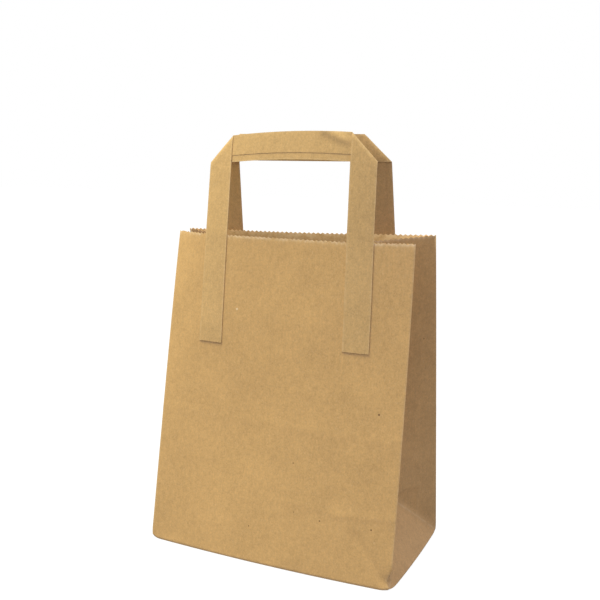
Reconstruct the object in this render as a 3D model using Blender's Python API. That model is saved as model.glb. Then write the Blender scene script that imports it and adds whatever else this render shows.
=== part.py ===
# Brown paper carrier bag: one folded sheet with a block bottom, and two folded tape handles.
# Metres, +Z up, front panel facing -Y, origin at the middle of the underside.

import math

import bmesh
import bpy
from mathutils import Vector

# Sheet of the bag
WIDTH = 0.254
DEPTH = 0.139
PANEL_LENGTH = 0.310
PAPER = 0.0003
SEAM_OVERLAP = 0.020
FLAP_OVERLAP = 0.030

# How far each top corner stands in from straight above its base corner
FRONT_LEFT_LEAN = 0.0613
FRONT_RIGHT_LEAN = 0.049
BACK_LEFT_LEAN = 0.0582
BACK_RIGHT_LEAN = 0.033

# Both big panels bow towards the front at the mouth, and every wall stands out a little at the base
FRONT_BOW = 0.0142
BACK_BOW = 0.0121
BASE_BULGE = 0.0041
SIDE_BULGE = 0.0016

# Pinked mouth
TOOTH_PITCH = 0.0046
TOOTH_DEPTH = 0.0014

# Folded tape of the handles
TAPE_WIDTH = 0.0255
TAPE_THICKNESS = 0.0005
LAP_WIDTH = 0.0065
LAP_PLY = 0.00015
PLY_PRESS = 0.00005

# Loop of a handle and where it is glued
LEG_INSET = 0.0641
GLUED_LENGTH = 0.103
LOOP_RISE = 0.095
BAR_BOW = 0.0017
SEAT_GAP = 0.0003

# How far the front handle sits to the right of its panel's middle
FRONT_SHIFT = 0.0013

# The front handle is glued a little skew: its left leg reaches lower and its right end stands higher
FRONT_SLIP = 0.0027
FRONT_TILT = 0.0012

# How far each end of a crossbar stands in from its panel's mouth
FRONT_LOOP_LEAN_LEFT = 0.0137
FRONT_LOOP_LEAN_RIGHT = 0.0081
BACK_LOOP_LEAN_LEFT = 0.0092
BACK_LOOP_LEAN_RIGHT = 0.0172

# Fineness of the mesh
PANEL_STEPS = 3
SPAN_STEPS = 6
GUSSET_STEPS = 8
WALL_STEPS = 3
GLUED_STEPS = 5
BAR_STEPS = 8
SHARP_ANGLE = math.radians(8)

FRONT, BACK = -1, 1
LEFT, RIGHT = -1, 1
LEANS = {
    (LEFT, FRONT): FRONT_LEFT_LEAN,
    (RIGHT, FRONT): FRONT_RIGHT_LEAN,
    (LEFT, BACK): BACK_LEFT_LEAN,
    (RIGHT, BACK): BACK_RIGHT_LEAN,
}
LOOP_LEANS = {
    FRONT: (FRONT_LOOP_LEAN_LEFT, FRONT_LOOP_LEAN_RIGHT),
    BACK: (BACK_LOOP_LEAN_LEFT, BACK_LOOP_LEAN_RIGHT),
}
SHIFTS = {FRONT: FRONT_SHIFT, BACK: 0}
SLIPS = {FRONT: FRONT_SLIP, BACK: 0}
TILTS = {FRONT: FRONT_TILT, BACK: 0}
# The front curls back close to its corners, the back is one long shallow curve
BOWS = {FRONT: (FRONT_BOW, 4), BACK: (BACK_BOW, 1.6)}

# Where a second ply of paper lies on the sheet
MARKS = {"plain": 0, "seam": 1, "back_flap": 2, "front_flap": 3}


def clear_scene():
    for item in list(bpy.data.objects):
        bpy.data.objects.remove(item, do_unlink=True)


def steps(start, end, count):
    """Evenly spaced values from start to end, both included."""
    return [start + (end - start) * i / count for i in range(count + 1)]


def joined(*runs):
    """Runs that share their end values, as one list."""
    values = list(runs[0])
    for run in runs[1:]:
        values.extend(run[1:])
    return values


# Shape of the standing bag

def corner(side, face, height):
    """A corner fold of the bag, a given paper length above the base."""
    share = height / PANEL_LENGTH
    lean = LEANS[side, face] * share
    bow, power = BOWS[face]
    # A bowed panel keeps its paper width, so its two corners draw closer together
    draw = (power * bow * share ** 2) ** 2 / (WIDTH * (2 * power - 1))
    return Vector((side * (WIDTH / 2 - draw), face * (DEPTH / 2 - lean), math.sqrt(height ** 2 - lean ** 2)))


def panel_point(face, across, height):
    """A point of the front or back panel, across from -1 at the left to 1 at the right."""
    point = corner(LEFT, face, height).lerp(corner(RIGHT, face, height), (across + 1) / 2)
    bow, power = BOWS[face]
    share = height / PANEL_LENGTH
    point.y -= bow * share ** 2 * (1 - abs(across) ** power)
    point.y += face * BASE_BULGE * (1 - share) ** 3 * (1 - across ** 2)
    return point


def crease_point(side, height):
    """The middle fold of a gusset: half the depth away from both corner folds."""
    front = corner(side, FRONT, height)
    back = corner(side, BACK, height)
    half_mouth = (back - front).length / 2
    inset = math.sqrt((DEPTH / 2) ** 2 - half_mouth ** 2)
    middle = front.lerp(back, 0.5)
    middle.x -= side * inset
    middle.z *= math.sqrt(1 - (inset / height) ** 2)
    return middle


def gusset_point(side, across, height):
    """A point of a gusset, across from 0 at the front corner fold to 1 at the back one."""
    half = DEPTH / 2
    front = corner(side, FRONT, height)
    back = corner(side, BACK, height)
    if height >= half:
        crease = crease_point(side, height)
        if across <= 0.5:
            return front.lerp(crease, 2 * across)
        return crease.lerp(back, 2 * across - 1)
    # Low down the gusset is a flat triangle between two diagonal folds that meet at the apex
    apex = crease_point(side, half)
    near = corner(side, FRONT, 0).lerp(apex, height / half)
    far = corner(side, BACK, 0).lerp(apex, height / half)
    reach = height / DEPTH
    if across < reach:
        point = front.lerp(near, across / reach)
    elif across > 1 - reach:
        point = back.lerp(far, (1 - across) / reach)
    else:
        point = near.lerp(far, (across - reach) / (1 - 2 * reach))
    point.x += side * SIDE_BULGE * (1 - height / half) * (1 - (2 * across - 1) ** 2)
    return point


def wall_heights():
    """Rows of the walls, with one at the apex, one at the bottom's crease and one at the tape ends."""
    return joined(
        steps(0, DEPTH / 2, GUSSET_STEPS // 2),
        steps(DEPTH / 2, DEPTH, WALL_STEPS),
        steps(DEPTH, PANEL_LENGTH - GLUED_LENGTH, WALL_STEPS),
        steps(PANEL_LENGTH - GLUED_LENGTH, PANEL_LENGTH, GLUED_STEPS),
    )


def leg_stations(face, side):
    """Inner edge, middle and outer edge of a tape leg, measured from the bag's middle."""
    return [SHIFTS[face] + side * (LEG_INSET + TAPE_WIDTH * share) for share in (0, 0.5, 1)]


def panel_stations(face):
    """Columns of a big panel from left to right, with one at each edge of the tape and of the seam."""
    edge = WIDTH / 2
    left, right = leg_stations(face, LEFT)[::-1], leg_stations(face, RIGHT)
    if face == BACK:
        seam = SEAM_OVERLAP / 2
        span = joined(steps(left[-1], -seam, PANEL_STEPS), [-seam, seam], steps(seam, right[0], PANEL_STEPS))
    else:
        span = steps(left[-1], right[0], SPAN_STEPS)
    return joined(steps(-edge, left[0], PANEL_STEPS), left, span, right, steps(right[-1], edge, PANEL_STEPS))


# Sheet of the bag

def pinked_edge(start, end):
    """Points between two corners of the mouth, every second one dropped to the root of a tooth."""
    teeth = max(1, round((end - start).length / TOOTH_PITCH))
    points = []
    for i in range(1, 2 * teeth):
        point = start.lerp(end, i / (2 * teeth))
        if i % 2:
            point.z -= TOOTH_DEPTH
        points.append(point)
    return points


def add_wall(bm, columns, point_at, fold_height=None, mark=None):
    """A wall of the sheet as a grid. Cells that a diagonal fold crosses are split along it."""
    heights = wall_heights()
    marks = bm.faces.layers.int["mark"]
    grid = [[bm.verts.new(point_at(column, height)) for column in columns] for height in heights]
    top = len(heights) - 2
    for i, (low, high) in enumerate(zip(grid, grid[1:])):
        for j in range(len(columns) - 1):
            cells = [[low[j], low[j + 1], high[j + 1], high[j]]]
            if i == top:
                teeth = [bm.verts.new(point) for point in pinked_edge(high[j].co, high[j + 1].co)]
                cells = [[low[j], low[j + 1], high[j + 1]] + teeth[::-1] + [high[j]]]
            elif fold_height:
                start, end = fold_height(columns[j]), fold_height(columns[j + 1])
                if math.isclose(min(start, end), heights[i], abs_tol=PAPER / 10):
                    if start < end:
                        cells = [[low[j], low[j + 1], high[j + 1]], [low[j], high[j + 1], high[j]]]
                    else:
                        cells = [[low[j], low[j + 1], high[j]], [low[j + 1], high[j + 1], high[j]]]
            for cell in cells:
                face = bm.faces.new(cell)
                if mark:
                    face[marks] = mark(columns[j], columns[j + 1])


def add_walls(bm):
    """Front panel, right gusset, back panel and left gusset, going round the bag."""
    def fold_height(across):
        return min(across, 1 - across) * DEPTH

    def seam_mark(start, end):
        return MARKS["seam" if abs(start + end) < SEAM_OVERLAP / 2 else "plain"]

    def panel(face):
        return lambda place, height: panel_point(face, place / (WIDTH / 2), height)

    def gusset(side):
        return lambda across, height: gusset_point(side, across, height)

    across = steps(0, 1, GUSSET_STEPS)
    add_wall(bm, panel_stations(FRONT), panel(FRONT))
    add_wall(bm, across, gusset(RIGHT), fold_height)
    add_wall(bm, panel_stations(BACK)[::-1], panel(BACK), mark=seam_mark)
    add_wall(bm, across[::-1], gusset(LEFT), fold_height)


def add_bottom(bm):
    """Block bottom: two end triangles, and a front flap that laps over the back flap."""
    marks = bm.faces.layers.int["mark"]
    tip = WIDTH / 2 - DEPTH / 2
    lap = FLAP_OVERLAP / 2
    flap_ends = [(-tip, 0), (lap - tip, lap), (tip - lap, lap), (tip, 0)]
    across = steps(0, 1, GUSSET_STEPS)
    front = [panel_point(FRONT, x / (WIDTH / 2), 0) for x in panel_stations(FRONT)]
    back = [panel_point(BACK, x / (WIDTH / 2), 0) for x in panel_stations(BACK)]
    left = [gusset_point(LEFT, share, 0) for share in across]
    right = [gusset_point(RIGHT, share, 0) for share in across]
    ends = [Vector((x, y, 0)) for x, y in flap_ends]
    outlines = (
        (front[::-1] + ends, "front_flap"),
        (back + ends[::-1], "back_flap"),
        (left + ends[:1], "plain"),
        (right[::-1] + ends[-1:], "plain"),
    )
    for outline, mark in outlines:
        face = bm.faces.new([bm.verts.new(point) for point in outline])
        face[marks] = MARKS[mark]


def raise_faces(bm, faces, offset, keep_base=False):
    """Extrude faces by an offset. The base stays only where it closes the far side of a sheet."""
    grown = bmesh.ops.extrude_face_region(bm, geom=faces)
    verts = [item for item in grown["geom"] if isinstance(item, bmesh.types.BMVert)]
    bmesh.ops.translate(bm, vec=offset, verts=verts)
    if not keep_base:
        bmesh.ops.delete(bm, geom=faces, context="FACES")
    bm.normal_update()


def add_ply(bm, picks, offset):
    """Lay one more ply of paper on the marked faces that a test picks."""
    marks = bm.faces.layers.int["mark"]
    raise_faces(bm, [face for face in bm.faces if picks(face[marks], face.normal)], offset)


def new_object(name, mesh, paint):
    item = bpy.data.objects.new(name, mesh)
    bpy.context.scene.collection.objects.link(item)
    mesh.materials.append(paint)
    return item


def apply_modifier(item, modifier):
    bpy.context.view_layer.objects.active = item
    bpy.ops.object.modifier_apply(modifier=modifier.name)


def bag_body(paint):
    mesh = bpy.data.meshes.new("bag_body")
    bm = bmesh.new()
    bm.faces.layers.int.new("mark")
    add_walls(bm)
    add_bottom(bm)
    bmesh.ops.remove_doubles(bm, verts=bm.verts, dist=PAPER / 10)
    bm.to_mesh(mesh)
    bm.free()
    body = new_object("bag_body", mesh, paint)

    # The sheet's outside stays where it is and the paper's thickness goes inwards
    wall = body.modifiers.new("paper", "SOLIDIFY")
    wall.thickness = PAPER
    wall.offset = -1
    wall.use_even_offset = True
    wall.use_quality_normals = True
    apply_modifier(body, wall)

    # The glued seam doubles the back panel, and the bottom's flaps lie one over the other
    bm = bmesh.new()
    bm.from_mesh(mesh)
    outward = Vector((0, PAPER, 0))
    down = Vector((0, 0, -PAPER))
    flaps = (MARKS["back_flap"], MARKS["front_flap"])
    add_ply(bm, lambda mark, normal: mark == MARKS["seam"] and normal.y > 0.5, outward)
    add_ply(bm, lambda mark, normal: mark in flaps and normal.z < -0.5, down)
    add_ply(bm, lambda mark, normal: mark == MARKS["front_flap"] and normal.z < -0.5, down)
    bmesh.ops.translate(bm, vec=-2 * down, verts=bm.verts)
    bm.to_mesh(mesh)
    bm.free()
    finish_mesh(mesh)
    return body


# Tape handles

def seated_point(face, place, height):
    """A point on the outside of a big panel, a seat's gap clear of the paper."""
    point = panel_point(face, place / (WIDTH / 2), height)
    return point + Vector((0, face * SEAT_GAP, 2 * PAPER))


def loop_point(face, place, rise):
    """A point of the free loop, a given tape length above the mouth."""
    left, right = LOOP_LEANS[face]
    share = ((place - SHIFTS[face]) / LEG_INSET + 1) / 2
    lean = (left + (right - left) * share) * rise / LOOP_RISE
    tilt = TILTS[face] * (2 * share - 1) * rise / LOOP_RISE
    offset = Vector((0, -face * lean, math.sqrt(rise ** 2 - lean ** 2) + tilt))
    return seated_point(face, place, PANEL_LENGTH) + offset


def tape(name, grid, offset):
    """A run of tape: a grid of points thickened by an offset."""
    bm = bmesh.new()
    rows = [[bm.verts.new(point) for point in row] for row in grid]
    for low, high in zip(rows, rows[1:]):
        for j in range(len(low) - 1):
            bm.faces.new([low[j], low[j + 1], high[j + 1], high[j]])
    raise_faces(bm, bm.faces[:], offset, keep_base=True)
    bmesh.ops.recalc_face_normals(bm, faces=bm.faces)
    mesh = bpy.data.meshes.new(name)
    bm.to_mesh(mesh)
    bm.free()
    return mesh


def leg_mesh(face, side):
    """A leg from its glued end up to the crossbar's top edge."""
    places = leg_stations(face, side)
    end = PANEL_LENGTH - GLUED_LENGTH + side * SLIPS[face]
    glued = steps(end, PANEL_LENGTH, GLUED_STEPS)
    grid = [[seated_point(face, place, height) for place in places] for height in glued]
    for rise in steps(0, LOOP_RISE, GLUED_STEPS)[1:]:
        grid.append([loop_point(face, place, rise) for place in places])
    return tape("leg", grid, Vector((0, face * TAPE_THICKNESS, 0)))


def lap_faces(bm, face):
    """The low faces on the outer side of a crossbar, between its legs."""
    picked = []
    for item in bm.faces:
        height = max(v.co.z for v in item.verts) - min(v.co.z for v in item.verts)
        outward = item.normal.y * face > 0.5
        between = abs(item.calc_center_median().x - SHIFTS[face]) < LEG_INSET
        if outward and between and height < TAPE_WIDTH / 2:
            picked.append(item)
    return picked


def bar_mesh(face):
    """The crossbar, behind the legs as seen from outside, with the tape's own lapped edge."""
    left, right = leg_stations(face, LEFT)[::-1], leg_stations(face, RIGHT)
    places = joined(left, steps(left[-1], right[0], BAR_STEPS), right)
    press = Vector((0, face * PLY_PRESS, 0))
    grid = []
    for share in (0, LAP_WIDTH / TAPE_WIDTH, 1):
        row = []
        for place in places:
            bow = BAR_BOW * max(0, 1 - ((place - SHIFTS[face]) / LEG_INSET) ** 2)
            point = loop_point(face, place, LOOP_RISE - TAPE_WIDTH * (1 - share))
            row.append(point + press + Vector((0, 0, bow)))
        grid.append(row)
    mesh = tape("bar", grid, Vector((0, -face * (TAPE_THICKNESS + PLY_PRESS), 0)))
    bm = bmesh.new()
    bm.from_mesh(mesh)
    raise_faces(bm, lap_faces(bm, face), Vector((0, face * LAP_PLY, 0)))
    bm.to_mesh(mesh)
    bm.free()
    return mesh


def cut_mitre(bm, face, side):
    """Trim an upper corner along the 45 degree fold, from the inner edge's top to the outer edge."""
    top = loop_point(face, leg_stations(face, side)[0], LOOP_RISE)
    geometry = bm.verts[:] + bm.edges[:] + bm.faces[:]
    cut = bmesh.ops.bisect_plane(
        bm, geom=geometry, dist=PLY_PRESS / 10, plane_co=top, plane_no=(side, 0, 1), clear_outer=True)
    edges = [item for item in cut["geom_cut"] if isinstance(item, bmesh.types.BMEdge)]
    bmesh.ops.contextual_create(bm, geom=edges)


def handle(name, face, paint):
    """One tape: two legs and a crossbar, joined where the tape turns over."""
    item = new_object(name, bar_mesh(face), paint)
    for side in (LEFT, RIGHT):
        leg = new_object("leg", leg_mesh(face, side), paint)
        union = item.modifiers.new("fold", "BOOLEAN")
        union.operation = "UNION"
        union.object = leg
        apply_modifier(item, union)
        bpy.data.objects.remove(leg, do_unlink=True)
    bm = bmesh.new()
    bm.from_mesh(item.data)
    for side in (LEFT, RIGHT):
        cut_mitre(bm, face, side)
    bm.to_mesh(item.data)
    bm.free()
    finish_mesh(item.data)
    return item


# Finish

def finish_mesh(mesh):
    mesh.shade_smooth()
    mesh.set_sharp_from_angle(angle=SHARP_ANGLE)


def kraft(name, colour, roughness):
    paint = bpy.data.materials.new(name)
    paint.use_nodes = True
    shader = paint.node_tree.nodes["Principled BSDF"]
    shader.inputs["Base Color"].default_value = (*colour, 1)
    shader.inputs["Roughness"].default_value = roughness
    shader.inputs["Metallic"].default_value = 0
    return paint


def main():
    clear_scene()
    bag_body(kraft("kraft_sheet", (0.56, 0.36, 0.15), 0.85))
    tape_paint = kraft("kraft_tape", (0.60, 0.40, 0.17), 0.80)
    handle("front_handle", FRONT, tape_paint)
    handle("back_handle", BACK, tape_paint)


main()
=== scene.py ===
# %% [markdown]
# # A brown paper carrier bag, folded from a box
#
# The bag is one sheet of kraft paper, folded into a tube with two pleated sides and a flat block
# bottom, and two handles folded from flat paper tape. This lesson folds it as the bag maker does:
# it starts from plain flat shapes with the paper's own sizes, marks the fold lines, and only then
# bends the sheet into the shape in which the bag stands.
#
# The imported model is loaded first. It gives the frame that all pieces share, in metres.

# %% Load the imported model
import math

import bpy
from mathutils import Matrix, Vector, kdtree, noise


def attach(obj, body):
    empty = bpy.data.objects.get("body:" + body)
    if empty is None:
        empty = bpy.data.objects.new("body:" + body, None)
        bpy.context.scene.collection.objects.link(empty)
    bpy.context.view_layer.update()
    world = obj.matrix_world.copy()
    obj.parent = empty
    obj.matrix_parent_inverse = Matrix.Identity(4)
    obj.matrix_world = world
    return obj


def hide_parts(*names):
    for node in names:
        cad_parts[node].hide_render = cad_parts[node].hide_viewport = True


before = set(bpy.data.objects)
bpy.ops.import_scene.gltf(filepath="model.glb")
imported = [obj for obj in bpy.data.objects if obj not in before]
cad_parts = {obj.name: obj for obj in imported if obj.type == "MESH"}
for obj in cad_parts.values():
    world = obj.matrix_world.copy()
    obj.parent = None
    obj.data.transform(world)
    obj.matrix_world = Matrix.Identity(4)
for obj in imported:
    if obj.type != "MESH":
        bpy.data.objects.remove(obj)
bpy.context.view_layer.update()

# %% [markdown]
# ## The camera
#
# The camera stands where the photographer's stood: a little to the right of the bag and just above
# its mouth, looking down by eleven degrees. Its place and lens were worked out from the bag's corners
# and from the edges of the tape, so that the whole bag falls where the photograph has it.
# Turning it in three steps (round the bag, down, and a small roll) is easier to read than one set
# of angles, so the matrix is put together from those steps.

# %% Set up the camera
CAMERA_PLACE = (0.36307, -0.76692, 0.4054)
CAMERA_ROUND = math.radians(25.09213)
CAMERA_DOWN = math.radians(10.89469)
CAMERA_ROLL = math.radians(0.29654)
FOCAL_PIXELS = 895.3
PHOTO_PIXELS = 600
SENSOR_WIDTH = 36

turn = Matrix.Rotation(CAMERA_ROUND, 3, "Z") @ Matrix.Rotation(math.pi / 2 - CAMERA_DOWN, 3, "X")
turn = turn @ Matrix.Rotation(CAMERA_ROLL, 3, "Z")
bpy.ops.object.camera_add(location=CAMERA_PLACE, rotation=turn.to_euler())
camera = bpy.context.object
camera.name = "photo_camera"
camera.data.sensor_fit = "HORIZONTAL"
camera.data.sensor_width = SENSOR_WIDTH
camera.data.lens = FOCAL_PIXELS / PHOTO_PIXELS * SENSOR_WIDTH
camera.data.clip_end = 20
bpy.context.scene.camera = camera
print("lens:", round(camera.data.lens, 2), "mm")

# %% [markdown]
# ## The sizes of the paper
#
# A folded bag is best described by its flat sheet and by how far it leans when it stands open.
# The sheet gives the width, the depth and the length of a panel. Each top corner then stands in
# from straight above its base corner, because the pleated sides pull the mouth half shut.
# Both big panels bow towards the front at the mouth.

# %% Sizes of the sheet and the way it stands
WIDTH = 0.254
DEPTH = 0.139
PANEL_LENGTH = 0.310
PAPER = 0.00025
PLY = 0.0002
FRONT, BACK = -1, 1
LEFT, RIGHT = -1, 1
# How far each top corner leans in, then how far each panel bows at the mouth and its curve's power
LEANS = {(LEFT, FRONT): 0.0613, (RIGHT, FRONT): 0.049, (LEFT, BACK): 0.0582, (RIGHT, BACK): 0.033}
BOWS = {FRONT: (0.0142, 4), BACK: (0.0121, 1.6)}
BASE_BULGE = 0.0041
SIDE_BULGE = 0.0016


def corner(side, face, height):
    """A corner fold of the standing bag, a given paper length above the base."""
    share = height / PANEL_LENGTH
    lean = LEANS[side, face] * share
    bow, power = BOWS[face]
    draw = (power * bow * share ** 2) ** 2 / (WIDTH * (2 * power - 1))
    return Vector((side * (WIDTH / 2 - draw), face * (DEPTH / 2 - lean), math.sqrt(height ** 2 - lean ** 2)))


def panel_point(face, across, height):
    """A point of a big panel, across from -1 at the left to 1 at the right."""
    point = corner(LEFT, face, height).lerp(corner(RIGHT, face, height), (across + 1) / 2)
    bow, power = BOWS[face]
    share = height / PANEL_LENGTH
    point.y -= bow * share ** 2 * (1 - abs(across) ** power)
    point.y += face * BASE_BULGE * (1 - share) ** 3 * (1 - across ** 2)
    return point


def crease_point(side, height):
    """The middle fold of a pleated side: half the depth away from both corner folds."""
    front = corner(side, FRONT, height)
    back = corner(side, BACK, height)
    half_mouth = (back - front).length / 2
    inset = math.sqrt((DEPTH / 2) ** 2 - half_mouth ** 2)
    middle = front.lerp(back, 0.5)
    middle.x -= side * inset
    middle.z *= math.sqrt(1 - (inset / height) ** 2)
    return middle


def gusset_point(side, across, height):
    """A point of a pleated side, across from 0 at the front fold to 1 at the back fold."""
    half = DEPTH / 2
    front = corner(side, FRONT, height)
    back = corner(side, BACK, height)
    if height >= half:
        crease = crease_point(side, height)
        if across <= 0.5:
            return front.lerp(crease, 2 * across)
        return crease.lerp(back, 2 * across - 1)
    apex = crease_point(side, half)
    near = corner(side, FRONT, 0).lerp(apex, height / half)
    far = corner(side, BACK, 0).lerp(apex, height / half)
    reach = height / DEPTH
    if across < reach:
        point = front.lerp(near, across / reach)
    elif across > 1 - reach:
        point = back.lerp(far, (1 - across) / reach)
    else:
        point = near.lerp(far, (across - reach) / (1 - 2 * reach))
    point.x += side * SIDE_BULGE * (1 - height / half) * (1 - (2 * across - 1) ** 2)
    return point


print("mouth corners:", [tuple(round(v, 4) for v in corner(s, f, PANEL_LENGTH)) for s, f in LEANS])

# %% [markdown]
# ## Small helpers
#
# Mesh operators act on whatever is selected. These helpers pick faces or edges by a test, and run a
# few steps in edit mode. Picking is done in object mode, where the selection can be written straight
# into the mesh. Bisect and subdivide are wrapped, so that they wait until edit mode is on.

# %% Helpers for picking and editing
TINY = 1e-5


def make_active(item):
    """Select one object alone and make it the active one."""
    bpy.ops.object.select_all(action="DESELECT")
    item.select_set(True)
    bpy.context.view_layer.objects.active = item


def clear_picks(mesh):
    for part in (mesh.vertices, mesh.edges, mesh.polygons):
        for element in part:
            element.select = False


def pick_faces(item, test):
    """Select exactly the faces that pass a test."""
    clear_picks(item.data)
    for face in item.data.polygons:
        face.select = bool(test(face))
    bpy.context.tool_settings.mesh_select_mode = (False, False, True)


def pick_edges(item, test):
    """Select exactly the edges whose two ends pass a test."""
    mesh = item.data
    clear_picks(mesh)
    for edge in mesh.edges:
        start, end = (mesh.vertices[i].co for i in edge.vertices)
        edge.select = bool(test(start, end))
    bpy.context.tool_settings.mesh_select_mode = (False, True, False)


def runs_along(axis):
    """A test for edges that run along one axis."""
    def test(start, end):
        step = end - start
        return all(abs(step[i]) < TINY for i in range(3) if i != axis)
    return test


def edit(item, *moves):
    """Run some edit-mode steps on one object."""
    make_active(item)
    bpy.ops.object.mode_set(mode="EDIT")
    for move in moves:
        move()
    bpy.ops.object.mode_set(mode="OBJECT")


def everything():
    bpy.ops.mesh.select_all(action="SELECT")


def bisect(place, normal):
    return lambda: bpy.ops.mesh.bisect(plane_co=place, plane_no=normal, threshold=TINY)


def subdivide(parts):
    """Divide the picked edges into a number of equal parts."""
    return lambda: bpy.ops.mesh.subdivide(number_cuts=parts - 1)


def apply_modifier(item, modifier):
    make_active(item)
    bpy.ops.object.modifier_apply(modifier=modifier.name)


def thicken(item, thickness, offset):
    """Give a sheet its thickness. The new skin gets material slot 1, which tells the skins apart."""
    item.data.materials.append(bpy.data.materials.new("new_skin"))
    wall = item.modifiers.new("paper", "SOLIDIFY")
    wall.thickness = thickness
    wall.offset = offset
    wall.use_even_offset = False
    wall.material_offset = 1
    apply_modifier(item, wall)


def forget_skins(item):
    """Put all faces back in material slot 0 and drop the other slot."""
    for face in item.data.polygons:
        face.material_index = 0
    bpy.data.materials.remove(item.data.materials.pop(index=1))


print("helpers ready")

# %% [markdown]
# ## The flat box
#
# A bag is closest to an open box, so it starts as a cube with the paper's own width, depth and
# length. The top face goes. Bisect then marks the fold lines of the pleated sides: the middle line,
# the level of the point where the pleat begins, and the two slanting lines of the block bottom.
# Subdividing the edges of one direction at a time gives a fine grid. Its squares are equally wide
# and high low down, so the slanting folds run exactly from corner to corner of them.

# %% Make the box and its grid
TOOTH_COLUMNS = 55
HALF_DEPTH_COLUMNS = 30
LOW_ROWS = 30
HIGH_ROWS = 64
COLUMN = WIDTH / 2 / TOOTH_COLUMNS
DEPTH_COLUMN = DEPTH / 2 / HALF_DEPTH_COLUMNS
FLAP_LAP = 6 * DEPTH_COLUMN
FLAP_TIP = WIDTH / 2 - DEPTH / 2

bpy.ops.mesh.primitive_cube_add(size=1, location=(0, 0, PANEL_LENGTH / 2), scale=(WIDTH, DEPTH, PANEL_LENGTH))
bag = bpy.context.object
bag.name = "paper_bag"
bpy.ops.object.transform_apply(location=True, rotation=True, scale=True)

pick_faces(bag, lambda face: face.normal.z > 0.5)
edit(bag, lambda: bpy.ops.mesh.delete(type="FACE"))
for place, normal in (((0, 0, DEPTH / 2), (0, 0, 1)), ((0, 0, 0), (1, 0, 0)), ((0, 0, 0), (0, 1, 0))):
    edit(bag, everything, bisect(place, normal))

upright = runs_along(2)
for test, parts in ((lambda a, b: upright(a, b) and (a.z + b.z) / 2 < DEPTH / 2, LOW_ROWS),
                    (lambda a, b: upright(a, b) and (a.z + b.z) / 2 > DEPTH / 2, HIGH_ROWS),
                    (runs_along(0), TOOTH_COLUMNS),
                    (runs_along(1), HALF_DEPTH_COLUMNS)):
    pick_edges(bag, test)
    edit(bag, subdivide(parts))

# The slanting folds of the pleated sides
for panel in (FRONT, BACK):
    pick_faces(bag, lambda face: abs(face.normal.x) > 0.5 and face.center.z < DEPTH / 2)
    edit(bag, bisect((0, panel * DEPTH / 2, 0), (0, panel, 1)))

# The slanting ends of the two bottom flaps
for side in (LEFT, RIGHT):
    for in_flap, slope in ((lambda y: y < FLAP_LAP, 1), (lambda y: y > 0, -1)):
        pick_faces(bag, lambda face: face.normal.z < -0.5 and face.center.x * side > 0
                   and in_flap(face.center.y))
        edit(bag, bisect((side * FLAP_TIP, 0, 0), (side, slope, 0)))
print("flat box:", len(bag.data.vertices), "points,", len(bag.data.polygons), "faces")

# %% [markdown]
# ## Notes written on the flat sheet
#
# Some things are easy to say while the sheet is still flat and hard to find again later: which
# edges are folds, and where a second ply of paper lies (the glued seam and the bottom's flaps).
# They are written into the mesh now, as named attributes, and survive the folding.

# %% Mark the folds and the plies
SEAM_HALF = 4 * COLUMN
SHARP_WEIGHT = 0.3
PLIES = {"seam": 1, "back_flap": 2, "front_flap": 3}


def on_fold(point):
    """The names of the straight fold lines of the flat box that a point lies on."""
    at_side = abs(point.x) > WIDTH / 2 - TINY
    at_panel = abs(point.y) > DEPTH / 2 - TINY
    names = set()
    if at_side and at_panel:
        names.add(("corner", point.x > 0, point.y > 0))
    if at_side and point.z < TINY:
        names.add(("side base", point.x > 0))
    if at_panel and point.z < TINY:
        names.add(("panel base", point.y > 0))
    if at_side and abs(point.y) < TINY and point.z > DEPTH / 2 - TINY:
        names.add(("crease", point.x > 0))
    return names


def same_slant(a, b):
    """Whether two points lie on the same slanting fold, the pleat's point included."""
    def slanting(point):
        return abs(point.x) > WIDTH / 2 - TINY and abs(point.z - (DEPTH / 2 - abs(point.y))) < TINY
    return slanting(a) and slanting(b) and a.y * b.y > -TINY and a.x * b.x > 0


mesh = bag.data
weights = mesh.attributes.new("bevel_weight_edge", "FLOAT", "EDGE")
fold_points = set()
for edge in mesh.edges:
    a, b = (mesh.vertices[i].co for i in edge.vertices)
    if on_fold(a) & on_fold(b) or same_slant(a, b):
        weights.data[edge.index].value = 1 if max(a.z, b.z) < TINY else SHARP_WEIGHT
        fold_points.update(edge.vertices)

ply = mesh.attributes.new("ply", "INT", "FACE")
for face in mesh.polygons:
    x, y, _ = face.center
    if face.normal.y > 0.5 and abs(x) < SEAM_HALF:
        ply.data[face.index].value = PLIES["seam"]
    if face.normal.z < -0.5:
        if y < FLAP_LAP and abs(x) < FLAP_TIP - y:
            ply.data[face.index].value = PLIES["front_flap"]
        elif y > 0 and abs(x) < FLAP_TIP + y:
            ply.data[face.index].value = PLIES["back_flap"]
print("fold points:", len(fold_points))

# %% [markdown]
# ## Folding the sheet
#
# Now every point of the flat box moves to its place on the standing bag. The folding functions
# above keep the paper's lengths, so the sheet isn't stretched. Real paper is never quite flat, so
# the big faces also get slow swells of less than a millimetre, and the creases that this kind of
# bag keeps from lying flat in its pack: one across both panels where the block bottom was folded up.
# The bag in the photograph also has worn base corners, two small wrinkles low on its right side and
# a right front fold that is pushed in just above the base.
# The same pass drops every second point of the mouth, which gives the pinked, zigzag edge.

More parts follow.
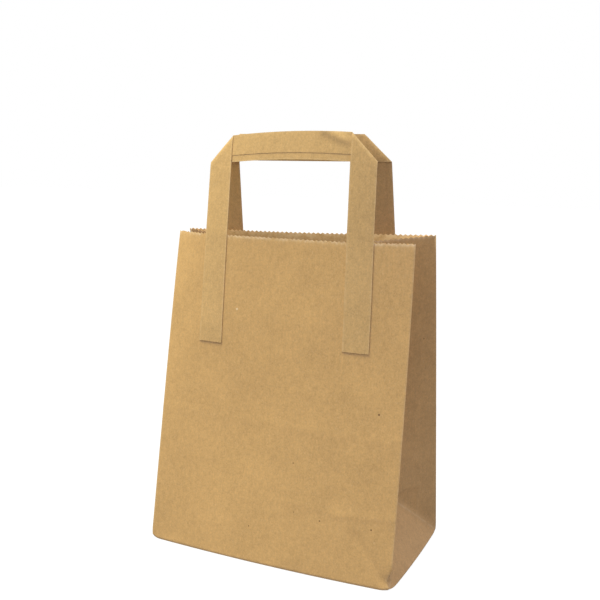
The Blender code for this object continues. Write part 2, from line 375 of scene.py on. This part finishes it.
# %% Swells and creases of the paper
# A wave is its height and its pace across and up. A crease is its start, end, rise and spread.
PANEL_WAVES = ((0.0011, 11, 8), (0.00035, 34, 26))
PANEL_SEEDS = {FRONT: (3.1, 7.7), BACK: (21.5, 15.2)}
PANEL_CREASES = {
    FRONT: (((-0.1270, 0.1335), (0.1270, 0.1335), 0.00014, 0.0030),
            ((0.0700, 0.0590), (0.1270, 0.0650), 0.00022, 0.0030),
            ((0.0900, 0.0440), (0.1205, 0.0060), -0.00045, 0.0035),
            ((0.0200, 0.0640), (0.0720, 0.0600), 0.00012, 0.0040)),
    BACK: (((-0.1270, 0.1335), (0.1270, 0.1335), 0.00022, 0.0030),),
}
SIDE_WAVES = ((0.0016, 16, 9), (0.0007, 45, 30))
SIDE_SEEDS = {LEFT: (10.3, 14.3), RIGHT: (12.3, 16.3)}
SIDE_CREASES = {
    LEFT: (),
    RIGHT: (((-0.0430, 0.0720), (0.0450, 0.0610), 0.0004, 0.0026),
            ((0.0450, 0.0610), (0.0370, 0.0120), 0.0006, 0.0024)),
}


def distance_to_line(x, y, start, end):
    along = Vector(end) - Vector(start)
    away = Vector((x, y)) - Vector(start)
    share = min(1, max(0, away.dot(along) / along.length_squared))
    return (away - share * along).length


def crease_rise(creases, across, up):
    """How far some creases lift a point of the paper."""
    return sum(rise * math.exp(-(distance_to_line(across, up, start, end) / spread) ** 2)
               for start, end, rise, spread in creases)


def swells(waves, seeds, across, up):
    """How far the paper's slow swells lift a point."""
    return sum(rise * noise.noise(Vector((across * pace_across, up * pace_up, seed)))
               for (rise, pace_across, pace_up), seed in zip(waves, seeds))


def panel_dent(face, x, height):
    """How far a big panel stands out of its smooth shape."""
    off_edge = 1 - (2 * x / WIDTH) ** 6
    swell = off_edge * swells(PANEL_WAVES, PANEL_SEEDS[face], x, height)
    return swell + crease_rise(PANEL_CREASES[face], x, height)


def side_dent(side, y, height):
    """How far a pleated side stands out of its smooth shape. Its swells fade at the folds."""
    off_fold = abs(math.sin(2 * math.pi * (y / DEPTH + 0.5)))
    swell = off_fold * swells(SIDE_WAVES, SIDE_SEEDS[side], y, height)
    return swell + crease_rise(SIDE_CREASES[side], y, height)


print("front dent in the middle:", round(panel_dent(FRONT, 0, PANEL_LENGTH / 2), 5), "m")

# %% Fold the sheet
TOOTH_DEPTH = 0.0014
BOTTOM_LIFT = 0.0004
SOFTNESS = 0.006
FADE_HEIGHT = 0.012
CURL = 0.0042
CURL_FORWARD = 0.3
CURL_REACH = 0.018
CURL_HEIGHT = 0.008
CURL_SPREAD = 0.008
CORNER_REACH = 0.011
CORNER_WEAR = {(LEFT, FRONT): 0.0020, (RIGHT, FRONT): 0.0016, (LEFT, BACK): 0.0014, (RIGHT, BACK): 0.0012}
WEAR_ASIDE = 0.4


def soft_gusset_point(side, y, height):
    """A point of a pleated side, with its slanting folds rounded by averaging over a few millimetres."""
    to_fold = DEPTH / 2 - abs(y)
    if height > DEPTH / 2 - SOFTNESS:
        to_fold = min(to_fold, abs(y))
    aside = min(SOFTNESS, to_fold)
    up = min(SOFTNESS, height, PANEL_LENGTH - height)
    steps = ((0, 0), (aside, 0), (-aside, 0), (0, up), (0, -up))
    total = Vector()
    for over, higher in steps:
        total += gusset_point(side, (y + over) / DEPTH + 0.5, height + higher)
    return total / len(steps)


def freshly_folded(point):
    """Where a point of the flat box goes before its base corners are worn."""
    x, y, height = point
    fade = min(1, height / FADE_HEIGHT)
    if abs(y) > DEPTH / 2 - TINY:
        face = FRONT if y < 0 else BACK
        place = panel_point(face, 2 * x / WIDTH, height)
        place.y += face * fade * panel_dent(face, x, height)
        return place
    if abs(x) > WIDTH / 2 - TINY:
        side = LEFT if x < 0 else RIGHT
        place = soft_gusset_point(side, y, height)
        place.x += side * fade * side_dent(side, y, height)
        return place
    outward = SIDE_BULGE * (1 - (2 * y / DEPTH) ** 2) * 2 * x / WIDTH
    forward = BASE_BULGE * (1 - (2 * x / WIDTH) ** 2) * 2 * y / DEPTH
    return Vector((x + outward, y + forward, 0))


def corner_curl(x, y, height):
    """How far the right front fold is pushed in just above the base."""
    if x < 0 or y > 0:
        return 0
    aside = math.hypot(WIDTH / 2 - x, DEPTH / 2 + y)
    near = max(0, 1 - aside / CURL_REACH) ** 2
    return CURL * near * math.exp(-((height - CURL_HEIGHT) / CURL_SPREAD) ** 2)


def corner_wear(x, y, height):
    """How far a point is worn away at the nearest base corner."""
    away = math.hypot(WIDTH / 2 - abs(x), DEPTH / 2 - abs(y), height)
    share = max(0, 1 - away / CORNER_REACH) ** 2
    return share * CORNER_WEAR[RIGHT if x > 0 else LEFT, FRONT if y < 0 else BACK]


def folded(point):
    """Where a point of the flat box goes on the standing bag."""
    place = freshly_folded(point)
    curl = corner_curl(*point)
    wear = corner_wear(*point)
    place.x -= curl + math.copysign(WEAR_ASIDE * wear, point.x)
    place.y += CURL_FORWARD * curl - math.copysign(WEAR_ASIDE * wear, point.y)
    place.z += wear
    return place


def tooth_drop(point):
    """How far a point of the mouth is cut away by the pinking."""
    if point.z < PANEL_LENGTH - TINY:
        return 0
    if abs(point.y) > DEPTH / 2 - TINY:
        number = round((point.x + WIDTH / 2) / COLUMN)
    else:
        number = round((point.y + DEPTH / 2) / DEPTH_COLUMN)
    return TOOTH_DEPTH if number % 2 else 0


rim_points = []
fold_places = []
for vert in mesh.vertices:
    flat = vert.co.copy()
    vert.co = folded(flat) + Vector((0, 0, BOTTOM_LIFT - tooth_drop(flat)))
    if flat.z > PANEL_LENGTH - TINY:
        rim_points.append(vert.co.copy())
    if vert.index in fold_points:
        fold_places.append(vert.co.copy())
print("mouth points:", len(rim_points), "fold points kept:", len(fold_places))

# %% [markdown]
# ## Thickness, soft folds and the doubled paper
#
# The sheet is still without thickness. A Bevel on the marked edges rounds the folds a little, as
# paper does, and Solidify then lays the thickness on the inside, so the outside keeps its size.
# The inner skin gets material slot 1 for a moment, which makes the outer skin easy to pick for the
# plies that lie on it: the glued seam down the back, and the two flaps that close the bottom.
# Just below the back of the mouth the inside of the bag gets painted light: a point attribute on the inner
# skin marks that strip, and the paper's colour is lifted and made to glow there later.

# %% Round the folds and give the paper its thickness
FOLD_ROUND = 0.0017
# How far below the mouth the painted light on the inner back skin reaches
PAINTED_LIGHT_REACH = 0.020
MOUTH_MIDDLE = 0
MOUTH_HEIGHT = max(place.z for place in rim_points)

rounding = bag.modifiers.new("soft folds", "BEVEL")
rounding.limit_method = "WEIGHT"
rounding.width = FOLD_ROUND
rounding.segments = 2
apply_modifier(bag, rounding)

kraft_sheet = bpy.data.materials.new("kraft_sheet")
bag.data.materials.append(kraft_sheet)
thicken(bag, PAPER, -1)

# Painted light: the inner skin just below the back of the mouth is marked, from 1 at the rim to 0 further
# down
inner_points = {i for face in bag.data.polygons if face.material_index == 1 for i in face.vertices}
painted_mouth_light = bag.data.attributes.new("painted_mouth_light", "FLOAT", "POINT").data
for vert in bag.data.vertices:
    if vert.index in inner_points and vert.co.y > MOUTH_MIDDLE:
        painted_mouth_light[vert.index].value = max(0, 1 - (MOUTH_HEIGHT - vert.co.z) / PAINTED_LIGHT_REACH)
print("sheet:", len(bag.data.polygons), "faces")

# %% Lay the plies on
FACING = 0.8


def raise_ply(names, step):
    """Extrude the outer faces of some plies by a step."""
    marks = bag.data.attributes["ply"].data
    wanted = {PLIES[name] for name in names}
    pick_faces(bag, lambda face: face.material_index == 0 and marks[face.index].value in wanted
               and max(abs(face.normal.y), abs(face.normal.z)) > FACING)
    edit(bag, lambda: bpy.ops.mesh.extrude_region_move(TRANSFORM_OT_translate={"value": step}))


raise_ply(("seam",), (0, PLY, 0))
raise_ply(("back_flap", "front_flap"), (0, 0, -PLY))
raise_ply(("front_flap",), (0, 0, -PLY))
forget_skins(bag)
print("bag:", len(bag.data.polygons), "faces, lowest point", round(min(v.co.z for v in bag.data.vertices), 5))

# %% [markdown]
# ## Where the paper is worn, and painted highlights on the folds
#
# Kraft paper turns paler where its fibres break: along the folds and on the cut teeth of the mouth.
# The paler line along each fold is also a painted highlight, as a rounded fold would catch the light.
# A material can't know where those are, so each point of the mesh gets two numbers from 0 to 1.
# They come from the distance to the nearest fold or cut, found with a k-d tree.

# %% Write the wear and the painted fold highlights onto the mesh
FOLD_REACH = 0.0024
CUT_REACH = 0.0030


def write_nearness(item, name, places, reach):
    """A point attribute that is 1 at the given places and 0 a reach away."""
    tree = kdtree.KDTree(len(places))
    for i, place in enumerate(places):
        tree.insert(place, i)
    tree.balance()
    values = item.data.attributes.new(name, "FLOAT", "POINT").data
    for vert in item.data.vertices:
        values[vert.index].value = max(0, 1 - tree.find(vert.co)[2] / reach)


# Paler along the folds: worn fibres, and a painted highlight as well
write_nearness(bag, "fold_wear_and_highlight", fold_places, FOLD_REACH)
write_nearness(bag, "cut_edge", rim_points, CUT_REACH)
print("wear written")

# %% [markdown]
# ## The handles
#
# Each handle is one flat tape that turns over twice at 45 degrees: up, across and down again. The
# legs lie on the outside and the crossbar behind them. A plane with the tape's full length and
# width is cut at the two slanting fold lines and then folded point by point. Low down the legs
# follow the panel that they are glued to, and above the mouth they lean in towards the hand. The
# front crossbar bows up a little and has a soft crease near its right end. The back one hangs
# straight and a little lower, so it shows as a dark strip below.

# %% Sizes of the tape and its loop
TAPE_WIDTH = 0.0254
TAPE_THICKNESS = 0.00036
LAP_ROWS = 3
LAP_PLY = 0.00026
LEG_INSET = 0.0641
GLUED_LENGTH = 0.103
LOOP_RISE = 0.095
LAYER_GAP = 0.0009
SEAT = 0.00048
TURN_REACH = 0.004

# Of each handle: its shift to the right, how much its left leg is glued longer and its right one
# shorter, the tilt of its crossbar, the leans of its left and right legs, and the turn, bow, sag and
# creases of its crossbar
SHIFTS = {FRONT: 0.0013, BACK: 0}
SLIPS = {FRONT: 0.0027, BACK: 0}
TILTS = {FRONT: 0.0012, BACK: 0}
LOOP_LEANS = {FRONT: (0.0137, 0.0081), BACK: (0.0092, 0.0172)}
BAR_TURNS = {FRONT: 0.02, BACK: -0.22}
BAR_BOWS = {FRONT: 0.0023, BACK: 0}
BAR_SAGS = {FRONT: 0, BACK: 0.0014}
BAR_CREASES = {FRONT: (((0.0360, -0.0010), (0.0600, 0.0075), 0.0009, 0.0034),), BACK: ()}


def seated_point(face, place, height):
    """A point on the outside of a big panel, just clear of the paper."""
    point = panel_point(face, 2 * place / WIDTH, height)
    return point + Vector((0, face * (SEAT + panel_dent(face, place, height)), BOTTOM_LIFT))


def loop_point(face, place, rise):
    """A point of the free loop, a given tape length above the mouth."""
    left, right = LOOP_LEANS[face]
    share = ((place - SHIFTS[face]) / LEG_INSET + 1) / 2
    lean = (left + (right - left) * share) * rise / LOOP_RISE
    tilt = (TILTS[face] * (2 * share - 1) - BAR_SAGS[face]) * rise / LOOP_RISE
    above = max(0, rise - LOOP_RISE + TAPE_WIDTH)
    turned = lean + BAR_TURNS[face] * above ** 2 / (above + TURN_REACH)
    offset = Vector((0, -face * turned, math.sqrt(rise ** 2 - lean ** 2) + tilt))
    return seated_point(face, place, PANEL_LENGTH) + offset


print("tape length:", round(2 * (GLUED_LENGTH + LOOP_RISE + LEG_INSET), 3), "m")

# %% Fold a tape
TAPE_ROWS = 12
LEG_COLUMNS = 56
BAR_COLUMNS = 44


def tape_plane(name, lengths):
    """A flat tape, cut into legs, fold squares and crossbar, and divided finely."""
    total = sum(lengths)
    bpy.ops.mesh.primitive_plane_add(size=1)
    item = bpy.context.object
    item.name = name
    for vert in item.data.vertices:
        vert.co.x = total if vert.co.x > 0 else 0
        vert.co.y = TAPE_WIDTH if vert.co.y > 0 else 0
    stops = [sum(lengths[:i + 1]) for i in range(len(lengths) - 1)]
    for stop in stops:
        edit(item, everything, bisect((stop, 0, 0), (1, 0, 0)))
    lengthwise = runs_along(0)
    all_columns = (LEG_COLUMNS, TAPE_ROWS, BAR_COLUMNS, TAPE_ROWS, LEG_COLUMNS)
    for start, length, columns in zip([0] + stops, lengths, all_columns):
        pick_edges(item, lambda a, b: lengthwise(a, b) and start < (a.x + b.x) / 2 < start + length)
        edit(item, subdivide(columns))
    pick_edges(item, runs_along(1))
    edit(item, subdivide(TAPE_ROWS))
    for start, deep, slope in ((stops[0], TAPE_WIDTH, 1), (stops[2], 0, -1)):
        pick_faces(item, lambda face: start < face.center.x < start + TAPE_WIDTH)
        edit(item, bisect((start, deep, 0), (1, slope, 0)))
    return item


def tape_place(face, lengths, point):
    """Where a point of the flat tape goes on the folded handle."""
    along, deep = point.x, point.y
    left_length = lengths[0] + lengths[1]
    right_length = lengths[3] + lengths[4]
    from_right = sum(lengths) - along
    shift = SHIFTS[face]
    past_left = along - (left_length - deep)
    past_right = from_right - (right_length - deep)
    inner = Vector((0, -face * LAYER_GAP, 0))
    if past_left > TINY and past_right > TINY:
        place = shift - LEG_INSET - deep + past_left
        bow = BAR_BOWS[face] * max(0, 1 - ((place - shift) / LEG_INSET) ** 2)
        crease = crease_rise(BAR_CREASES[face], place, deep)
        return loop_point(face, place, LOOP_RISE - deep) + inner + Vector((0, -crease, bow))
    side = LEFT if past_left <= TINY else RIGHT
    past = past_left if side == LEFT else past_right
    reach = along if side == LEFT else from_right
    place = shift + side * (LEG_INSET + deep)
    glued = GLUED_LENGTH - side * SLIPS[face]
    if reach < glued:
        where = seated_point(face, place, PANEL_LENGTH - glued + reach)
    else:
        where = loop_point(face, place, reach - glued)
    if past > -TINY:
        where += inner / 2
    return where


def handle(name, face, paint):
    """One handle, still without thickness: a tape with its lap and its paler edge and fold lines (wear and a
    painted highlight) marked, then folded.
    """
    left = GLUED_LENGTH + SLIPS[face] + LOOP_RISE
    right = GLUED_LENGTH - SLIPS[face] + LOOP_RISE
    lengths = (left - TAPE_WIDTH, TAPE_WIDTH, 2 * LEG_INSET, TAPE_WIDTH, right - TAPE_WIDTH)
    item = tape_plane(name, lengths)
    lap = item.data.attributes.new("lap", "INT", "FACE")
    for strip in item.data.polygons:
        lap.data[strip.index].value = int(strip.center.y < TAPE_WIDTH * (1 - LAP_ROWS / TAPE_ROWS))
    # Paler along the tape's long edges and fold lines: wear, and a painted highlight as well
    paler = item.data.attributes.new("fold_wear_and_highlight", "FLOAT", "POINT").data
    for vert in item.data.vertices:
        along, deep, _ = vert.co
        mitres = (left - deep, sum(lengths) - right + deep)
        at_edge = min(deep, TAPE_WIDTH - deep) < TINY or min(abs(along - m) for m in mitres) < TINY
        paler[vert.index].value = float(at_edge)
        vert.co = tape_place(face, lengths, vert.co)
    item.data.materials.append(paint)
    return item


kraft_tape = bpy.data.materials.new("kraft_tape")
front_tape = handle("front_tape_handle", FRONT, kraft_tape)
back_tape = handle("back_tape_handle", BACK, kraft_tape)
print("tape faces:", len(front_tape.data.polygons), len(back_tape.data.polygons))

# %% [markdown]
# ## The tape's thickness and its lap
#
# The tape is itself folded from a wider strip, and its long edge shows as a thin line along the
# crossbar. Solidify gives the tape its thickness. On the face that looks outwards at the crossbar,
# and towards the panel on the legs, all rows but the last ones are raised by one ply of paper, so
# the lap throws a fine shadow line. The narrow faces of the tape's edge are left out by their area.

# %% Thicken the tapes
EDGE_AREA = 1e-6
SMOOTH_BELOW = math.radians(28)


def thicken_tape(item, face):
    """Give a folded tape its thickness and its lap."""
    bar = [poly for poly in item.data.polygons if abs(poly.center.x) < LEG_INSET / 2]
    if sum(poly.normal.y for poly in bar) * face < 0:
        item.data.flip_normals()
    thicken(item, TAPE_THICKNESS, 0)
    marks = item.data.attributes["lap"].data
    pick_faces(item, lambda poly: poly.material_index == 0 and marks[poly.index].value
               and poly.area > EDGE_AREA)
    edit(item, lambda: bpy.ops.mesh.extrude_region_shrink_fatten(
        TRANSFORM_OT_shrink_fatten={"value": LAP_PLY}))
    forget_skins(item)


thicken_tape(front_tape, FRONT)
thicken_tape(back_tape, BACK)
for item in (bag, front_tape, back_tape):
    make_active(item)
    bpy.ops.object.shade_smooth_by_angle(angle=SMOOTH_BELOW)
    print(item.name, [round(v, 4) for v in item.dimensions])

# %% [markdown]
# ## Kraft paper
#
# Unbleached kraft is a warm brown with soft clouds, short lighter and darker fibres, faint lines
# along the machine's direction (up the bag) and a few dark specks of bark. All of that is shared by
# the sheet and the tape, so it is one node group with its own inputs. It reads Object coordinates,
# in metres, so the pattern has its true size.

# %% Helpers for node trees
def feed(tree, socket, value):
    """Give a socket a plain value, or link it to another node's output."""
    if isinstance(value, bpy.types.NodeSocket):
        tree.links.new(value, socket)
    else:
        socket.default_value = value


def add_node(tree, kind, inputs=None, **settings):
    """Add a node with its settings, and feed the inputs that are named."""
    node = tree.nodes.new(kind)
    for name, value in settings.items():
        setattr(node, name, value)
    for name, value in (inputs or {}).items():
        feed(tree, node.inputs[name], value)
    return node


def math_node(tree, operation, first, second, clamp=False):
    node = add_node(tree, "ShaderNodeMath", operation=operation, use_clamp=clamp)
    feed(tree, node.inputs[0], first)
    feed(tree, node.inputs[1], second)
    return node.outputs[0]


def weighted_sum(tree, *terms):
    """Add up some values, each times its weight."""
    total = None
    for value, weight in terms:
        part = math_node(tree, "MULTIPLY", value, weight)
        total = part if total is None else math_node(tree, "ADD", total, part)
    return total


def mix_colour(tree, factor, first, second):
    """Blend two colours: sockets 6 and 7 of the Mix node, with the result in its output 2."""
    node = add_node(tree, "ShaderNodeMix", data_type="RGBA")
    for number, value in ((0, factor), (6, first), (7, second)):
        feed(tree, node.inputs[number], value)
    return node.outputs[2]


def noise_value(tree, vector, scale, detail, roughness=0.5):
    inputs = {"Vector": vector, "Scale": scale, "Detail": detail, "Roughness": roughness}
    return add_node(tree, "ShaderNodeTexNoise", inputs).outputs["Fac"]


def stretched(tree, vector, scale, rotation=(0, 0, 0)):
    inputs = {"Vector": vector, "Scale": scale, "Rotation": rotation}
    return add_node(tree, "ShaderNodeMapping", inputs).outputs["Vector"]


def step_up(tree, value, low, high):
    inputs = {"Value": value, "From Min": low, "From Max": high}
    return add_node(tree, "ShaderNodeMapRange", inputs).outputs["Result"]


def new_group(name, inputs, outputs):
    group = bpy.data.node_groups.new(name, "ShaderNodeTree")
    for direction, sockets in (("INPUT", inputs), ("OUTPUT", outputs)):
        for label, kind, value in sockets:
            socket = group.interface.new_socket(name=label, in_out=direction, socket_type=kind)
            if value is not None:
                socket.default_value = value
    return group, group.nodes.new("NodeGroupInput"), group.nodes.new("NodeGroupOutput")


print("node helpers ready")

# %% Build the paper group
CLOUD_MIDDLE = 2.3  # half the sum of the clouds' weights, so the paper keeps its tone on average
FIBRE_SCALE = (2600, 2600, 420)
FIBRES = (((0.3, 0.2, 0.5), (0.80, 0.60, 0.34, 1)),
          ((1.3, 0.9, 0.1), (0.30, 0.17, 0.06, 1)),
          ((0.1, 1.2, 1.1), (0.74, 0.53, 0.28, 1)))
SPECK_TONE = (0.16, 0.085, 0.03, 1)

paper_group, given, result = new_group(
    "kraft_fibres",
    [("Place", "NodeSocketVector", None), ("Paper", "NodeSocketColor", (0.58, 0.37, 0.15, 1)),
     ("Clouds", "NodeSocketFloat", 0.1), ("Fibres", "NodeSocketFloat", 0.3),
     ("Specks", "NodeSocketFloat", 0.6)],
    [("Colour", "NodeSocketColor", None), ("Roughness", "NodeSocketFloat", None),
     ("Height", "NodeSocketFloat", None)])
place = given.outputs["Place"]
# From wide clouds to fine grain: each noise has its scale, detail and roughness
wide = noise_value(paper_group, place, 24, 3, 0.55)
small = noise_value(paper_group, place, 210, 4, 0.65)
grain = noise_value(paper_group, place, 620, 2, 0.6)
fine = noise_value(paper_group, place, 1500, 2, 0.6)
lines = noise_value(paper_group, stretched(paper_group, place, (620, 620, 12)), 1, 2)
clouds = weighted_sum(paper_group, (wide, 1), (small, 1.4), (lines, 0.6), (grain, 1.6))
clouds = math_node(paper_group, "SUBTRACT", clouds, CLOUD_MIDDLE)
shade = math_node(paper_group, "ADD", math_node(paper_group, "MULTIPLY", clouds, given.outputs["Clouds"]), 1)
tinted = add_node(paper_group, "ShaderNodeVectorMath", operation="SCALE")
feed(paper_group, tinted.inputs[0], given.outputs["Paper"])
feed(paper_group, tinted.inputs["Scale"], shade)
colour = tinted.outputs[0]

masks = []
for turned, tone in FIBRES:
    threads = noise_value(paper_group, stretched(paper_group, place, FIBRE_SCALE, turned), 1, 1)
    masks.append(step_up(paper_group, threads, 0.64, 0.74))
    share = math_node(paper_group, "MULTIPLY", masks[-1], given.outputs["Fibres"])
    colour = mix_colour(paper_group, share, colour, tone)

# A few cells of a Voronoi pattern, picked by their random colour, carry a speck in their middle
spots = add_node(paper_group, "ShaderNodeTexVoronoi", {"Vector": place, "Scale": 42})
spot = step_up(paper_group, spots.outputs["Distance"], 0.040, 0.022)
chance = add_node(paper_group, "ShaderNodeSeparateColor", {"Color": spots.outputs["Color"]})
spot = math_node(paper_group, "MULTIPLY", spot, step_up(paper_group, chance.outputs[0], 0.72, 0.76))
speck = math_node(paper_group, "MULTIPLY", spot, given.outputs["Specks"])

feed(paper_group, result.inputs["Colour"], mix_colour(paper_group, speck, colour, SPECK_TONE))
rough = math_node(paper_group, "ADD", math_node(paper_group, "MULTIPLY", small, 0.16), 0.72)
feed(paper_group, result.inputs["Roughness"], rough)
height = weighted_sum(paper_group, (small, 0.5), (fine, 0.3), *((mask, 0.3) for mask in masks))
feed(paper_group, result.inputs["Height"], height)
print("paper group:", len(paper_group.nodes), "nodes")

# %% [markdown]
# ## Paler folds, cut edges and painted light
#
# The second group lightens the colour where the mesh marks it: where the paper is creased or cut, and where
# light is painted in. It has a colour, a mask and an amount, so the sheet can use it three times: for the
# folds (wear and a painted highlight), for the painted light just inside the back of the mouth, and for the
# teeth.

# %% Build the wear and painted-light group
wear_and_light_group, given, result = new_group(
    "paper_wear_and_light",
    [("Colour", "NodeSocketColor", None), ("Paler", "NodeSocketColor", (0.78, 0.58, 0.33, 1)),
     ("Mask", "NodeSocketFloat", 0), ("Amount", "NodeSocketFloat", 0.5), ("Place", "NodeSocketVector", None)],
    [("Colour", "NodeSocketColor", None)])
patchy = step_up(wear_and_light_group, noise_value(wear_and_light_group, given.outputs["Place"], 160, 3, 0.6), 0.30, 0.62)
strength = math_node(wear_and_light_group, "POWER", given.outputs["Mask"], 1.3)
strength = math_node(wear_and_light_group, "MULTIPLY", strength, patchy)
strength = math_node(wear_and_light_group, "MULTIPLY", strength, given.outputs["Amount"], clamp=True)
paler = mix_colour(wear_and_light_group, strength, given.outputs["Colour"], given.outputs["Paler"])
feed(wear_and_light_group, result.inputs["Colour"], paler)
print("wear group:", len(wear_and_light_group.nodes), "nodes")

# %% Finish the two papers
BUMP_STRENGTH = 0.35
BUMP_DISTANCE = 0.00020
PAPER_SHEEN = 0.25
# Colour of the painted glow just inside the back of the mouth, which is no lamp
PAINTED_GLOW_TONE = (0.17, 0.120, 0.040, 1)
BARK = (0.14, 0.075, 0.03, 1)
CHIP = (0.82, 0.64, 0.38, 1)
# Single specks on the front panel: across, up, radius and tone
DOTS = ((0.1039, 0.1570, 0.0011, BARK), (0.1044, 0.0526, 0.0009, BARK), (0.0278, 0.0554, 0.0009, BARK),
        (-0.0176, 0.0337, 0.0008, BARK), (0.0545, 0.0519, 0.0009, BARK), (-0.0469, 0.2393, 0.0013, CHIP))


def attribute(tree, name):
    node = add_node(tree, "ShaderNodeAttribute", attribute_type="GEOMETRY", attribute_name=name)
    return node.outputs["Fac"]


def add_dot(tree, place, colour, middle, radius, tone):
    """One round speck at a given place on the paper."""
    away = add_node(tree, "ShaderNodeVectorMath", operation="DISTANCE")
    feed(tree, away.inputs[0], place)
    feed(tree, away.inputs[1], middle)
    return mix_colour(tree, step_up(tree, away.outputs["Value"], radius, radius * 0.5), colour, tone)


def finish_paper(material, tone, clouds, fibres, specks, wears_and_lights, dots=(), paints_glow=False):
    """Paint a material with the paper group, its paler places (wear, painted highlights and painted light)
    and its single specks.
    """
    material.use_nodes = True
    tree = material.node_tree
    place = add_node(tree, "ShaderNodeTexCoord").outputs["Object"]
    inputs = {"Place": place, "Paper": tone, "Clouds": clouds, "Fibres": fibres, "Specks": specks}
    paper = add_node(tree, "ShaderNodeGroup", inputs, node_tree=paper_group)
    colour = paper.outputs["Colour"]
    for name, amount, paler in wears_and_lights:
        inputs = {"Colour": colour, "Paler": paler, "Mask": attribute(tree, name), "Amount": amount,
                  "Place": place}
        colour = add_node(tree, "ShaderNodeGroup", inputs, node_tree=wear_and_light_group).outputs["Colour"]
    for middle, radius, dot_tone in dots:
        colour = add_dot(tree, place, colour, middle, radius, dot_tone)
    bump = add_node(tree, "ShaderNodeBump", {"Strength": BUMP_STRENGTH, "Distance": BUMP_DISTANCE,
                                             "Height": paper.outputs["Height"]})
    finish = {"Base Color": colour, "Roughness": paper.outputs["Roughness"], "Normal": bump.outputs["Normal"],
              "Specular IOR Level": PAPER_SHEEN}
    # Painted light: the strip just inside the back of the mouth glows, though it is no lamp
    if paints_glow:
        finish["Emission Color"] = mix_colour(tree, attribute(tree, "painted_mouth_light"), (0, 0, 0, 1), PAINTED_GLOW_TONE)
        finish["Emission Strength"] = 1
    for name, value in finish.items():
        feed(tree, tree.nodes["Principled BSDF"].inputs[name], value)


front_dots = [(panel_point(FRONT, 2 * x / WIDTH, up), size, tone) for x, up, size, tone in DOTS]
# The sheet: paler folds (wear and a painted highlight), painted light just inside the back of the mouth, and
# pale cut teeth
finish_paper(kraft_sheet, (0.604, 0.370, 0.141, 1), clouds=0.25, fibres=0.40, specks=0.7,
             wears_and_lights=(("fold_wear_and_highlight", 0.5, (0.72, 0.52, 0.27, 1)), ("painted_mouth_light", 0.9, (1.0, 0.80, 0.42, 1)),
                    ("cut_edge", 0.75, (0.86, 0.66, 0.40, 1))), dots=front_dots, paints_glow=True)
# The tape: paler edges and folds, from wear and a painted highlight
finish_paper(kraft_tape, (0.596, 0.380, 0.152, 1), clouds=0.27, fibres=0.45, specks=0.4,
             wears_and_lights=(("fold_wear_and_highlight", 0.45, (0.74, 0.54, 0.28, 1)),))
print("papers finished")

# %% [markdown]
# ## Naming the pieces
#
# Each new piece stands for one node of the imported model, whose own part is hidden, and rides on its
# only body.

# %% Tie the pieces to the model
for piece, node, slot in ((bag, "bag_body", "kraft_sheet"), (front_tape, "front_handle", "kraft_tape"),
                          (back_tape, "back_handle", "kraft_tape")):
    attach(piece, "root")
    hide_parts(node)
print("three pieces tied")

# %% [markdown]
# ## Floor and light
#
# The photograph is a cut-out on white, lit from almost straight above, a little from the left. A
# white floor takes only a faint shadow. The camera sees it, and the world, as plain white, while the
# paper gets an even, plain light: one large soft lamp and a pale world.

# %% Floor, lamp and world
AMBIENT = 0.92
PALE = (0.96, 0.96, 1.20, 1)
FLOOR_SIZE = 8
FLOOR_BOUNCE = 0.08
FLOOR_GLOW = 0.96
LAMP_PLACE = Vector((-0.58, -0.28, 2.15))
LAMP_TARGET = Vector((0, 0, 0.2))
LAMP_SIZE = 0.7
LAMP_POWER = 57
LAMP_COLOUR = (1.0, 1.0, 0.66)


def show_camera(tree, shown, for_others, output_kind):
    """Show the camera one shader and give all other rays another."""
    rays = add_node(tree, "ShaderNodeLightPath")
    choose = add_node(tree, "ShaderNodeMixShader")
    for socket, value in zip(choose.inputs, (rays.outputs["Is Camera Ray"], for_others, shown)):
        feed(tree, socket, value)
    add_node(tree, output_kind, {"Surface": choose.outputs[0]})


bpy.ops.mesh.primitive_plane_add(size=FLOOR_SIZE)
floor = bpy.context.object
floor.name = "floor"
floor_paint = bpy.data.materials.new("white_floor")
floor_paint.use_nodes = True
tree = floor_paint.node_tree
tree.nodes.clear()
bounce = add_node(tree, "ShaderNodeBsdfDiffuse", {"Color": (FLOOR_BOUNCE, FLOOR_BOUNCE, FLOOR_BOUNCE, 1)})
glow = add_node(tree, "ShaderNodeEmission", {"Strength": FLOOR_GLOW})
both = add_node(tree, "ShaderNodeAddShader")
feed(tree, both.inputs[0], bounce.outputs[0])
feed(tree, both.inputs[1], glow.outputs[0])
show_camera(tree, both.outputs[0], bounce.outputs[0], "ShaderNodeOutputMaterial")
floor.data.materials.append(floor_paint)

world = bpy.data.worlds.new("white_world")
bpy.context.scene.world = world
world.use_nodes = True
tree = world.node_tree
tree.nodes.clear()
white = add_node(tree, "ShaderNodeBackground", {"Color": (1, 1, 1, 1), "Strength": 1})
pale = add_node(tree, "ShaderNodeBackground", {"Color": PALE, "Strength": AMBIENT})
show_camera(tree, white.outputs[0], pale.outputs[0], "ShaderNodeOutputWorld")

bpy.ops.object.light_add(type="AREA", location=LAMP_PLACE)
lamp = bpy.context.object
lamp.name = "high_lamp"
lamp.rotation_euler = (LAMP_TARGET - LAMP_PLACE).to_track_quat("-Z", "Y").to_euler()
lamp.data.shape = "SQUARE"
lamp.data.size = LAMP_SIZE
lamp.data.energy = LAMP_POWER
lamp.data.color = LAMP_COLOUR

# %% Set the view and count the triangles
bpy.context.scene.view_settings.view_transform = "Standard"
for item in (bag, front_tape, back_tape):
    print(item.name, sum(len(p.vertices) - 2 for p in item.data.polygons), "triangles")
